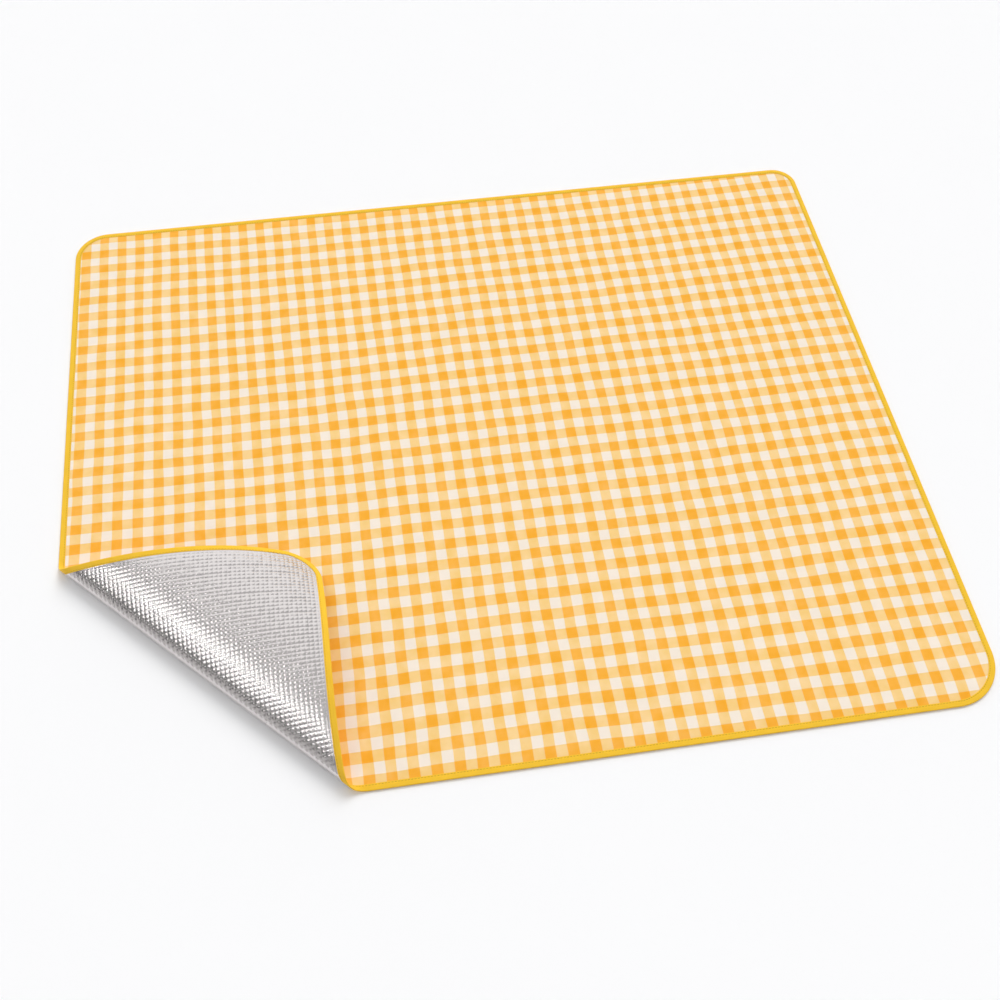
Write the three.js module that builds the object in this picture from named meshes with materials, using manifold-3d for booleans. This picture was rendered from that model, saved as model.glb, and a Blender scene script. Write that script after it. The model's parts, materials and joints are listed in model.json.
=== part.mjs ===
// Foil-backed picnic mat, lying flat with its front left corner turned over onto the top.
//
// A printed cloth, a foam core and a foil back are bonded into one laminate, and a folded
// tape is sewn round its rounded edge. The turned-over corner is a developable fold: every
// line across it stays straight, so the mat keeps its true size and can be rolled flat again.
// The fold is divided into strips. Each strip turns about a line on the foil face, which is
// the outside of the bend, so the strips open away from one another as the corner unrolls.
//
// Millimetres and degrees, +Z up. The origin is the middle of the mat on the ground, with
// +X along the long side and +Y to the back.

import * as THREE from 'three';
import { mergeVertices } from 'three/addons/utils/BufferGeometryUtils.js';
import Module from 'manifold-3d';

// The finished mat
const matWidth = 1800;
const matDepth = 1500;

// The hand-cut round of each corner
const turnedCornerRadius = 80;
const frontRightRadius = 103;
const backRightRadius = 54;
const backLeftRadius = 76;

// The laminate, from the ground up
const foilThickness = 0.25;
const foamThickness = 2.2;
const clothThickness = 0.35;
const glueGap = 0.1;

// The sewn edge: tape folded round plies that the stitching squeezes together
const tapeWidth = 13;
const tapeThickness = 0.5;
const tapeClearance = 0.1;
const squeezedFoam = 1.2;
const squeezeMargin = 1;
const squeezeRun = 6;

// The turned-over corner
const foldLeg = 571;
const curlRadius = 16;
const curlTurn = 150;
const curlStrips = 5;
const crownStrips = 4;
const stripGap = 0.3;
const restGap = 0.3;

// Roundness of the facets
const cornerSteps = 10;
const noseSteps = 6;
const curlFacets = 3;

const colours = {
  foil: { color: 0xc4c3c6, roughness: 0.32, metalness: 0.9 },
  foam: { color: 0xf3f2ee, roughness: 0.85, metalness: 0 },
  cloth: { color: 0xffc978, roughness: 0.9, metalness: 0 },
  binding: { color: 0xf6c932, roughness: 0.7, metalness: 0 },
};

const wasm = await Module();
wasm.setup();

const radians = THREE.MathUtils.degToRad;
const root2 = Math.SQRT2;

// Heights that follow from the plies

const plies = ['foil', 'foam', 'cloth'];
const openThickness = { foil: foilThickness, foam: foamThickness, cloth: clothThickness };
const sewnThickness = { foil: foilThickness, foam: squeezedFoam, cloth: clothThickness };
const matThickness = stackHeight(openThickness);
const tapeSeat = tapeThickness + tapeClearance;
const edgeThickness = stackHeight(sewnThickness) + 2 * tapeSeat;
const noseRadius = edgeThickness / 2;
const marginInset = tapeWidth + squeezeMargin;
const rampInset = marginInset + squeezeRun;

function stackHeight(thickness) {
  return plies.reduce((sum, ply) => sum + thickness[ply], 0) + (plies.length - 1) * glueGap;
}

// Lower and upper face of one ply, in a stack that starts at the given height
function plyFaces(ply, thickness, start) {
  let lower = start;
  for (const other of plies.slice(0, plies.indexOf(ply))) lower += thickness[other] + glueGap;
  return [lower, lower + thickness[ply]];
}

// Section of a ply at the edge, as [inset from the edge, height] on its lower and upper face
function plySection(ply) {
  const open = plyFaces(ply, openThickness, 0);
  const sewn = plyFaces(ply, sewnThickness, tapeSeat);
  const face = (side) => [[noseRadius, sewn[side]], [marginInset, sewn[side]], [rampInset, open[side]]];
  return { lower: face(0), upper: face(1) };
}

// Section of the folded tape: a flat U with a round nose, as [inset, height] all the way round
function tapeSection() {
  const nose = (radius, turn) => {
    const points = [];
    for (let step = 0; step <= noseSteps; step++) {
      const angle = Math.PI * (turn * (0.5 - step / noseSteps) + 1);
      points.push([noseRadius + radius * Math.cos(angle), noseRadius + radius * Math.sin(angle)]);
    }
    return points;
  };
  return [
    [tapeWidth, 0],
    ...nose(noseRadius, 1),
    [tapeWidth, edgeThickness],
    [tapeWidth, edgeThickness - tapeThickness],
    ...nose(noseRadius - tapeThickness, -1),
    [tapeWidth, tapeThickness],
  ];
}

// Closed solids from rings and sections

function closedGeometry(points, triangles) {
  const geometry = new THREE.BufferGeometry();
  geometry.setAttribute('position', new THREE.Float32BufferAttribute(points.flat(), 3));
  geometry.setIndex(volumeOf(points, triangles) < 0 ? triangles.map(turnOver).flat() : triangles.flat());
  return geometry;
}

function turnOver([a, b, c]) {
  return [a, c, b];
}

function volumeOf(points, triangles) {
  const corner = triangles.map((face) => face.map((index) => new THREE.Vector3(...points[index])));
  return corner.reduce((sum, [a, b, c]) => sum + a.dot(b.clone().cross(c)) / 6, 0);
}

// Quads between two neighbouring rings of the same number of points
function band(first, second, count) {
  const faces = [];
  for (let index = 0; index < count; index++) {
    const next = (index + 1) % count;
    faces.push([first + index, first + next, second + next]);
    faces.push([first + index, second + next, second + index]);
  }
  return faces;
}

// Faces across a ring, wound the way the ring runs or, at the first ring, the other way
function capFaces(outline, start, isFirst) {
  const contour = outline.map(([x, y]) => new THREE.Vector2(x, y));
  const runsClockwise = THREE.ShapeUtils.area(contour) < 0;
  const faces = THREE.ShapeUtils.triangulateShape(contour, []);
  const moved = faces.map((face) => face.map((index) => index + start));
  return isFirst === runsClockwise ? moved : moved.map(turnOver);
}

// Rings joined one to the next: capped at both ends, or joined round into a tube
function ringSolid(rings, capOutlines) {
  const count = rings[0].length;
  const triangles = [];
  const last = rings.length - 1;
  for (let ring = 0; ring < last; ring++) triangles.push(...band(ring * count, (ring + 1) * count, count));
  if (capOutlines) {
    triangles.push(...capFaces(capOutlines[0], 0, true));
    triangles.push(...capFaces(capOutlines[1], last * count, false));
  } else {
    triangles.push(...band(last * count, 0, count));
  }
  return closedGeometry(rings.flat(), triangles);
}

// The mat's edge at a given inset, anticlockwise, with round corners
function edgeOutline(inset) {
  const points = [];
  const corners = [
    [1, 1, backRightRadius],
    [-1, 1, backLeftRadius],
    [-1, -1, turnedCornerRadius],
    [1, -1, frontRightRadius],
  ];
  for (const [turn, [signX, signY, radius]] of corners.entries()) {
    const centreX = signX * (matWidth / 2 - radius);
    const centreY = signY * (matDepth / 2 - radius);
    for (let step = 0; step <= cornerSteps; step++) {
      const angle = (Math.PI / 2) * (turn + step / cornerSteps);
      const reach = radius - inset;
      points.push([centreX + reach * Math.cos(angle), centreY + reach * Math.sin(angle)]);
    }
  }
  return points;
}

function edgeRings(section) {
  return section.map(([inset, height]) => edgeOutline(inset).map(([x, y]) => [x, y, height]));
}

// A whole flat ply, thinned along its edge, before it is cut at the fold
function plyBlank(ply) {
  const { lower, upper } = plySection(ply);
  const inner = edgeOutline(rampInset);
  return ringSolid(edgeRings([...lower.toReversed(), ...upper]), [inner, inner]);
}

// The whole ring of folded tape before it is cut at the fold
function tapeBlank() {
  return ringSolid(edgeRings(tapeSection()), null);
}

// Cutting with manifold-3d

function toManifold(geometry) {
  const bare = geometry.clone();
  bare.deleteAttribute('normal');
  bare.deleteAttribute('uv');
  const merged = mergeVertices(bare);
  const vertProperties = new Float32Array(merged.attributes.position.array);
  const triVerts = new Uint32Array(merged.index.array);
  return new wasm.Manifold(new wasm.Mesh({ numProp: 3, vertProperties, triVerts }));
}

function common(geometry, block) {
  const result = toManifold(geometry).intersect(toManifold(block)).getMesh();
  const cut = new THREE.BufferGeometry();
  cut.setAttribute('position', new THREE.BufferAttribute(new Float32Array(result.vertProperties), 3));
  cut.setIndex(new THREE.BufferAttribute(new Uint32Array(result.triVerts), 1));
  return cut;
}

// The fold's own frame: x square to the fold towards the corner, y along it, z up.
// It stands on the left edge, where the fold line starts.

const cornerReach = foldLeg / root2 - (root2 - 1) * turnedCornerRadius;
const foldFrame = new THREE.Matrix4()
  .makeRotationZ(radians(225))
  .setPosition(-matWidth / 2, foldLeg - matDepth / 2, 0);

function leftEdge(across, inset) {
  return across + root2 * inset;
}

function frontEdge(across, inset) {
  return root2 * (foldLeg - inset) - across;
}

// The fold's profile: a tight curl, then a crown of equal chords that comes down on the mat

const curlStep = curlTurn / curlStrips;
const curlLength = curlRadius * radians(curlTurn);
const chordLength = (cornerReach - curlLength) / (crownStrips + 1);
const crownStep = landingStep();

// Height of the middle of the tip's nose above the ground when each crown chord turns by step
function tipHeight(step) {
  let height = curlRadius * (1 - Math.cos(radians(curlTurn)));
  for (let strip = 0; strip < crownStrips; strip++) {
    height += chordLength * Math.sin(radians(curlTurn + step * (strip + 0.5)));
  }
  const slope = radians(curlTurn + step * (crownStrips + 0.5));
  return height + (chordLength - noseRadius) * Math.sin(slope) + noseRadius * Math.cos(slope);
}

// The step that brings the tip down to rest on the printed face, found by halving
function landingStep() {
  const target = matThickness + restGap + noseRadius;
  let shallow = 0;
  let steep = (270 - curlTurn) / (crownStrips + 1);
  for (let round = 0; round < 60; round++) {
    const middle = (shallow + steep) / 2;
    if (tipHeight(middle) > target) shallow = middle;
    else steep = middle;
  }
  return shallow;
}

// One strip of the fold is an arc in its own frame, which starts on the foil face along +x.
// Its stations carry the place, the face normal and the distance from the fold line.
function arcStations(radius, turn, length, facets, start) {
  const mitre = 1 / Math.cos(radians(turn / facets / 2));
  const trim = stripGap / 2 / length;
  const stations = [];
  for (let facet = 0; facet <= facets; facet++) {
    const share = trim + (1 - 2 * trim) * (facet / facets);
    const angle = radians(turn * share);
    stations.push({
      across: start + length * share,
      x: radius * Math.sin(angle),
      z: radius * (1 - Math.cos(angle)),
      normalX: -Math.sin(angle) * mitre,
      normalZ: Math.cos(angle) * mitre,
    });
  }
  return stations;
}

function stationPoint(station, along, height) {
  return [station.x + station.normalX * height, along, station.z + station.normalZ * height];
}

function loft(stations, outlineAt) {
  const outlines = stations.map(outlineAt);
  const rings = stations.map((station, index) =>
    outlines[index].map(([along, height]) => stationPoint(station, along, height)));
  return ringSolid(rings, [outlines[0], outlines.at(-1)]);
}

function plyStrip(ply, stations) {
  const { lower, upper } = plySection(ply);
  return loft(stations, ({ across }) => {
    const left = ([inset, height]) => [leftEdge(across, inset), height];
    const right = ([inset, height]) => [frontEdge(across, inset), height];
    return [
      ...lower.map(left),
      ...lower.toReversed().map(right),
      ...upper.map(right),
      ...upper.toReversed().map(left),
    ];
  });
}

function tapeStrip(edge, stations) {
  const section = tapeSection();
  return loft(stations, ({ across }) => section.map(([inset, height]) => [edge(across, inset), height]));
}

// Nodes

function addPart(parent, name, finish, geometry) {
  const faceted = geometry.toNonIndexed();
  faceted.computeVertexNormals();
  const mesh = new THREE.Mesh(faceted, new THREE.MeshStandardMaterial(colours[finish]));
  mesh.name = name;
  parent.add(mesh);
  return mesh;
}

// The flat part of the mat, on the near side of the fold line
function addMainPanel(parent) {
  const reach = 2 * (matWidth + matDepth);
  const block = new THREE.BoxGeometry(reach, reach, reach);
  block.translate(-reach / 2 - stripGap / 2, 0, 0);
  block.applyMatrix4(foldFrame);
  for (const ply of plies) addPart(parent, `${ply}_main`, ply, common(plyBlank(ply), block));
  addPart(parent, 'binding_main', 'binding', common(tapeBlank(), block));
}

function addStrip(parent, name, stations) {
  for (const ply of plies) addPart(parent, `${ply}_${name}`, ply, plyStrip(ply, stations));
  addPart(parent, `binding_left_${name}`, 'binding', tapeStrip(leftEdge, stations));
  addPart(parent, `binding_front_${name}`, 'binding', tapeStrip(frontEdge, stations));
}

// The rounded corner itself, flat, with its cut face leaned to meet the last crown strip
function addTip(parent, start) {
  const reach = 2 * cornerReach;
  const block = new THREE.BoxGeometry(reach, 2 * reach, reach);
  block.translate(reach / 2, foldLeg / root2, 0);
  block.rotateY(radians(crownStep / 2));
  block.translate(start + stripGap / 2, 0, 0);
  block.applyMatrix4(foldFrame);
  const toStrip = foldFrame.clone().invert().premultiply(new THREE.Matrix4().makeTranslation(-start, 0, 0));
  const place = (name, finish, blank) => {
    const mesh = addPart(parent, name, finish, common(blank, block).applyMatrix4(toStrip));
    mesh.rotation.y = -radians(crownStep / 2);
  };
  for (const ply of plies) place(`${ply}_tip`, ply, plyBlank(ply));
  place('binding_tip', 'binding', tapeBlank());
}

// A group at the far end of an arc, turned to carry on along its tangent
function nextHinge(parent, radius, turn, name) {
  const hinge = new THREE.Group();
  hinge.name = name;
  hinge.position.set(radius * Math.sin(radians(turn)), 0, radius * (1 - Math.cos(radians(turn))));
  hinge.rotation.y = -radians(turn);
  parent.add(hinge);
  return hinge;
}

function addCorner(parent) {
  const fold = new THREE.Group();
  fold.name = 'fold_line';
  fold.applyMatrix4(foldFrame);
  parent.add(fold);
  const crownRadius = chordLength / 2 / Math.sin(radians(crownStep / 2));
  let hinge = nextHinge(fold, 0, 0, 'hinge_curl_1');
  let start = 0;
  for (let strip = 1; strip <= curlStrips; strip++) {
    const length = curlLength / curlStrips;
    addStrip(hinge, `curl_${strip}`, arcStations(curlRadius, curlStep, length, curlFacets, start));
    start += length;
    const name = strip < curlStrips ? `hinge_curl_${strip + 1}` : 'hinge_crown_1';
    hinge = nextHinge(hinge, curlRadius, curlStep, name);
  }
  for (let strip = 1; strip <= crownStrips; strip++) {
    addStrip(hinge, `crown_${strip}`, arcStations(crownRadius, crownStep, chordLength, 1, start));
    start += chordLength;
    const name = strip < crownStrips ? `hinge_crown_${strip + 1}` : 'hinge_tip';
    hinge = nextHinge(hinge, crownRadius, crownStep, name);
  }
  addTip(hinge, start);
}

const mat = new THREE.Group();
mat.name = 'picnic_mat';
addMainPanel(mat);
addCorner(mat);

export default mat;
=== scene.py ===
"""Foil-backed picnic mat with one corner turned over: cloth, foam, foil, tape and stitching."""

import json
import math

import bpy
import numpy as np
from bpy.props import FloatProperty, FloatVectorProperty, IntProperty, PointerProperty
from mathutils import Matrix, Vector
from mathutils.geometry import delaunay_2d_cdt

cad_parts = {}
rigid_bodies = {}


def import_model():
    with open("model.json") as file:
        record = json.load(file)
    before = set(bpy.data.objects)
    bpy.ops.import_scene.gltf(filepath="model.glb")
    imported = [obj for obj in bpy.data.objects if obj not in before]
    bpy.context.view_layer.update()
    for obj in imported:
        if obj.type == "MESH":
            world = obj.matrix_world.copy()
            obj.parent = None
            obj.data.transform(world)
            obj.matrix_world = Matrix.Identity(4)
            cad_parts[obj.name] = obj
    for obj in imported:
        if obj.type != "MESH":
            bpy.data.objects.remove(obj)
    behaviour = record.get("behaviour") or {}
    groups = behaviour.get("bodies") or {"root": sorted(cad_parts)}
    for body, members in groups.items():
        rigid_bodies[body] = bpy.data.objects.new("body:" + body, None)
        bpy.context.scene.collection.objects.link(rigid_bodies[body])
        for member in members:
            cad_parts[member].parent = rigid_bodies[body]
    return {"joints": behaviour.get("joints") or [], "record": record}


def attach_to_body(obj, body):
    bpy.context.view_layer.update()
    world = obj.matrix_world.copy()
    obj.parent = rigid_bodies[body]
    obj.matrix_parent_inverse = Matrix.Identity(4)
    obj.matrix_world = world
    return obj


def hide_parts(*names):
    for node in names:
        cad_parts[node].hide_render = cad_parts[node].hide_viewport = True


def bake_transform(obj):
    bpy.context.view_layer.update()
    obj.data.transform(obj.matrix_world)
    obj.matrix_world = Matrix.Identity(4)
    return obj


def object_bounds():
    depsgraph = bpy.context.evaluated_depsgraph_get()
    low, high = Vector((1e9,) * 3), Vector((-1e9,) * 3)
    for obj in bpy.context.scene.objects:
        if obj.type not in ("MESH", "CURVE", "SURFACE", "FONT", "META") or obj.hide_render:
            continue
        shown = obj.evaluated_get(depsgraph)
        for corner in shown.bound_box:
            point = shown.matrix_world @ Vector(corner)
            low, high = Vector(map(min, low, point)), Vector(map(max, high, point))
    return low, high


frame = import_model()
cad_low, cad_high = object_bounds()

bl_info = {
    "name": "Foil-backed picnic mat",
    "version": (1, 0, 0),
    "blender": (4, 5, 0),
    "location": "View3D > Sidebar > Picnic mat",
    "description": "Builds a gingham picnic mat with foil backing and one corner turned over",
    "category": "Object",
}

MM = 0.001
# Points closer than this are one.
SAME = 1e-7
# How far the plies end inside the mat's edge, and the mesh's steps along the cuts between their pieces.
PLY_INSET, CUT_STEP = 1.6 * MM, 4 * MM
# Heights of the thread over and under the tape, and the thread's height as a share of its width.
SEAM_OVER, SEAM_UNDER, THREAD_FLATNESS = 3.04 * MM, 0.12 * MM, 0.6


def linear(code):
    """The linear colour of an sRGB hex code."""
    shares = [int(code[i : i + 2], 16) / 255 for i in (1, 3, 5)]
    return [c / 12.92 if c <= 0.04045 else ((c + 0.055) / 1.055) ** 2.4 for c in shares]


# ---- sizes and colours


class MatSizes(bpy.types.PropertyGroup):
    """Sizes of the mat's own pieces. The plan size and the fold come from the frame."""

    corner_radii: FloatVectorProperty(
        name="Corner radii",
        description="Rounds of the front left (turned over), front right, back right and back left corners",
        size=4,
        default=(0.080, 0.103, 0.054, 0.076),
        unit="LENGTH",
    )
    tape_width: FloatProperty(
        name="Tape width", description="Width of the binding on each face", default=0.013, unit="LENGTH"
    )
    seam_inset: FloatProperty(
        name="Seam inset", description="Row of stitches, from the mat's edge", default=0.0103, unit="LENGTH"
    )
    check_width: FloatProperty(
        name="Check width", description="Repeat of the checks, left to right", default=0.04227, unit="LENGTH"
    )
    check_depth: FloatProperty(
        name="Check depth", description="Repeat of the checks, front to back", default=0.04853, unit="LENGTH"
    )
    first_column: FloatProperty(
        name="First column", description="First stripe, from the left edge", default=0.0275, unit="LENGTH"
    )
    first_row: FloatProperty(
        name="First row", description="First stripe, from the front edge", default=0.0171, unit="LENGTH"
    )
    cloth_ripple: FloatProperty(
        name="Cloth ripple", description="Height of the cloth's soft waves", default=0.0008, unit="LENGTH"
    )
    bead_pitch: FloatProperty(
        name="Bead pitch", description="Spacing of the foil's embossed beads", default=0.0088, unit="LENGTH"
    )
    bead_depth: FloatProperty(
        name="Bead depth", description="Depth of the grooves between the beads", default=0.0005, unit="LENGTH"
    )
    stitch_pitch: FloatProperty(
        name="Stitch pitch", description="Distance from one stitch to the next", default=0.0060, unit="LENGTH"
    )
    stitch_length: FloatProperty(
        name="Stitch length", description="Thread that shows in one stitch", default=0.0044, unit="LENGTH"
    )
    thread_width: FloatProperty(
        name="Thread width", description="Width of the sewing thread", default=0.0011, unit="LENGTH"
    )
    bead_cells: IntProperty(
        name="Cells per bead", description="Mesh cells across a bead on the open corner", default=6, min=2
    )


class MatColours(bpy.types.PropertyGroup):
    """Colours of the mat and of the floor it lies on."""

    ground_cloth: FloatVectorProperty(
        name="Plain", description="Cloth between the stripes", subtype="COLOR", default=linear("#FAEDDE")
    )
    single_stripe: FloatVectorProperty(
        name="One stripe", description="Cloth under one stripe", subtype="COLOR", default=linear("#FDD58F")
    )
    crossed_stripes: FloatVectorProperty(
        name="Crossing", description="Cloth where stripes cross", subtype="COLOR", default=linear("#FFB541")
    )
    binding: FloatVectorProperty(
        name="Binding", description="Yellow binding tape", subtype="COLOR", default=linear("#F8C635")
    )
    thread: FloatVectorProperty(
        name="Thread", description="Sewing thread on the binding", subtype="COLOR", default=linear("#BF8E1A")
    )
    foil: FloatVectorProperty(
        name="Foil", description="Aluminised film on the back", subtype="COLOR", default=linear("#DCD7D6")
    )
    foam: FloatVectorProperty(
        name="Foam", description="Polyethylene foam inside", subtype="COLOR", default=linear("#F2F1EC")
    )
    floor: FloatVectorProperty(
        name="Floor", description="Pale floor under the mat", subtype="COLOR", default=linear("#FDFDFE")
    )


def choices(scene):
    """The sizes and the colours that are set in a scene."""
    return scene.picnicmat_sizes, scene.picnicmat_colours


# ---- the turned-over corner

JOINTS = frame["joints"]
AXIS = JOINTS[0]["axis"]
ACROSS = np.array([AXIS[1], -AXIS[0]])
ORIGIN = np.array(JOINTS[0]["pos_m"])
HALF = np.array([cad_high.x - cad_low.x, cad_high.y - cad_low.y]) / 2
CENTRE = np.array([cad_high.x + cad_low.x, cad_high.y + cad_low.y]) / 2

# The hinges that bend the sheet, from the fold line on: places from the first one, turns, strips after each.
PLACES = np.array([j["pos_m"] for j in JOINTS]) - ORIGIN
TURNS = np.radians([max(abs(v) for v in j["range_deg"]) for j in JOINTS])
STRIPS = np.linalg.norm(np.diff(PLACES, axis=0), axis=1)
STRIPS = np.append(STRIPS, STRIPS[-1])
HINGES = np.cumsum(STRIPS) - STRIPS
# Lines across the sheet at which its pieces meet: just before the fold, and at the middle of each strip.
CUTS = [-STRIPS[0] / 2, *(HINGES + STRIPS / 2)]
# Each piece lies between two of these: the panel, a bend for each hinge and the corner. The first and the
# last are well off the mat.
LIMITS = [-10.0, *CUTS, 10.0]
LABELS = ["panel", *(f"bend_{i + 1}" for i in range(len(JOINTS))), "corner"]


def unit(vectors):
    """Vectors brought to length 1."""
    return vectors / np.maximum(np.linalg.norm(vectors, axis=-1, keepdims=True), 1e-12)


def past_fold(flat):
    """How far each flat point lies past the fold line, towards the corner."""
    return (flat - ORIGIN[:2]) @ ACROSS


def smooth(value, low, high):
    """0 below low, 1 above high and an even ramp between."""
    share = np.clip((value - low) / (high - low), 0, 1)
    return share * share * (3 - 2 * share)


def section_table(end=450 * MM, step=0.25 * MM, ease=12 * MM, settle=(37 * MM, 260 * MM)):
    """The sheet's run across the fold: flat distance, across, up and slope of its foil face.

    Each hinge's turn is spread over the halves of the strips beside it, and dies away where a short strip
    meets a long one. The far end is brought back onto the last strip over the settle distances.
    """
    distance = np.arange(CUTS[0], end, step)
    slope = np.zeros_like(distance)
    for at, turn, strip, before in zip(HINGES, TURNS, STRIPS, np.append(STRIPS[0], STRIPS[:-1]) / 2):
        run, whole = distance - at + before, before + strip / 2
        share = np.clip(run / whole, 0, 1)
        if strip > 4 * before:
            share = (1 - np.exp(-np.clip(run, 0, whole) / ease)) / (1 - math.exp(-whole / ease))
        slope += turn * share
    between = (slope[1:] + slope[:-1]) / 2
    across = CUTS[0] + np.append(0, np.cumsum(np.cos(between))) * step
    up = np.append(0, np.cumsum(np.sin(between))) * step
    # The middle of the last strip, where the hinges have it.
    half, slant = STRIPS[-1] / 2, TURNS.sum()
    across_there = PLACES[-1][:2] @ ACROSS + half * math.cos(slant)
    up_there = PLACES[-1][2] + half * math.sin(slant)
    share = smooth(distance, *settle)
    across += share * (across_there - np.interp(CUTS[-1], distance, across))
    up += share * (up_there - np.interp(CUTS[-1], distance, up))
    return distance, across, up, np.unwrap(np.arctan2(np.gradient(up), np.gradient(across)))


SECTION = section_table()


def section(distance):
    """Where the sheet's foil face runs at each flat distance past the fold: across, up and slope."""
    across, up, slope = (np.interp(distance, SECTION[0], column) for column in SECTION[1:])
    before = distance < SECTION[0][0]
    return np.where(before, distance, across), np.where(before, 0.0, up), np.where(before, 0.0, slope)


def fold(flat, height):
    """Place of each point of the sheet, from its flat place and its height over the foil face."""
    distance = past_fold(flat)
    across, up, slope = section(distance)
    shift = across - height * np.sin(slope) - distance
    placed = np.empty((len(flat), 3))
    placed[:, :2] = flat + shift[:, None] * ACROSS
    placed[:, 2] = ORIGIN[2] + up + height * np.cos(slope)
    return placed


def face_normals(flat, height_at):
    """Unit normals, on the printed side, of the surface that height_at makes over the sheet."""
    step = 0.15 * MM
    slopes = []
    for axis in (np.array([step, 0.0]), np.array([0.0, step])):
        ahead, back = flat + axis, flat - axis
        slopes.append(fold(ahead, height_at(ahead)) - fold(back, height_at(back)))
    return unit(np.cross(*slopes))


# ---- the flat outline

# The mat's corners anticlockwise from the turned-over one, with the heading at which each round starts.
CORNERS = [((-1, -1), 180), ((1, -1), 270), ((1, 1), 0), ((-1, 1), 90)]


def corner_round(corner, radius, inset, count):
    """Points round one corner, some inset in from the mat's edge, and the way out at each."""
    side, start = corner
    angles = np.radians(start + np.linspace(0, 90, count))
    away = np.stack([np.cos(angles), np.sin(angles)], axis=1)
    return CENTRE + np.array(side) * (HALF - radius) + away * (radius - inset), away


def rim_table(radii, step=0.5 * MM):
    """The mat's outline anticlockwise from the left edge's middle: distance, place and inward direction."""
    left = (np.array([[CENTRE[0] - HALF[0], CENTRE[1]]]), np.array([[-1.0, 0.0]]))
    counts = [math.ceil(radius * math.pi / 2 / step) for radius in radii]
    rounds = [corner_round(corner, radius, 0, count) for corner, radius, count in zip(CORNERS, radii, counts)]
    places, aways = (np.concatenate(column) for column in zip(left, *rounds, left))
    return np.append(0, np.cumsum(np.linalg.norm(np.diff(places, axis=0), axis=1))), places, -aways


def along_rim(table, distance):
    """Place and inward direction on the outline at each distance, which may run past a full round."""
    distances, *columns = table
    wrapped = np.mod(distance, distances[-1])
    place, inward = (
        np.stack([np.interp(wrapped, distances, column[:, i]) for i in (0, 1)], axis=1) for column in columns
    )
    return place, unit(inward)


def inset_of(flat, radii):
    """How far each flat point lies inside the outline."""
    right, back = (flat > CENTRE).T.astype(int)
    radius = np.choose(np.where(back, 3 - right, right), radii)
    over = np.abs(flat - CENTRE) - (HALF - radius[:, None])
    outside = np.linalg.norm(np.maximum(over, 0), axis=1)
    return radius - outside - np.minimum(over.max(axis=1), 0)


def outline(radii, count=25):
    """The plies' convex outline, anticlockwise."""
    return np.concatenate([corner_round(c, radius, PLY_INSET, count)[0] for c, radius in zip(CORNERS, radii)])


def clipped(points, low, high):
    """The part of a convex outline that lies between two distances past the fold."""
    for sign, limit in ((1, low), (-1, -high)):
        inside = sign * past_fold(points) - limit
        kept = []
        for a, b, here, ahead in zip(points, np.roll(points, -1, axis=0), inside, np.roll(inside, -1)):
            if here >= 0:
                kept.append(a)
            if (here >= 0) != (ahead >= 0):
                kept.append(a + here / (here - ahead) * (b - a))
        points = np.array(kept)
    return points


def around(grid):
    """The values at the four corners of each of a lattice's cells, anticlockwise."""
    return [grid[:-1, :-1], grid[1:, :-1], grid[1:, 1:], grid[:-1, 1:]]


def lattice(rim, cell):
    """A square lattice over a convex outline and which of its cells lie clear inside."""
    # The gap left at the rim for triangles that aren't too thin.
    clear = 0.35 * min(cell, 8 * MM)
    low, high = np.floor(rim.min(axis=0) / cell), np.ceil(rim.max(axis=0) / cell)
    xs, ys = (np.arange(low[i], high[i] + 1) * cell for i in (0, 1))
    grid = np.stack(np.meshgrid(xs, ys, indexing="ij"), axis=-1)
    inside = np.ones(grid.shape[:2], bool)
    edges = unit(np.roll(rim, -1, axis=0) - rim)
    turns = np.linalg.norm(edges - np.roll(edges, 1, axis=0), axis=1) > 1e-6
    for start, edge in zip(rim[turns], edges[turns]):
        inside &= (grid[..., 1] - start[1]) * edge[0] - (grid[..., 0] - start[0]) * edge[1] > clear
    return grid, np.logical_and.reduce(around(inside))


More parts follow.
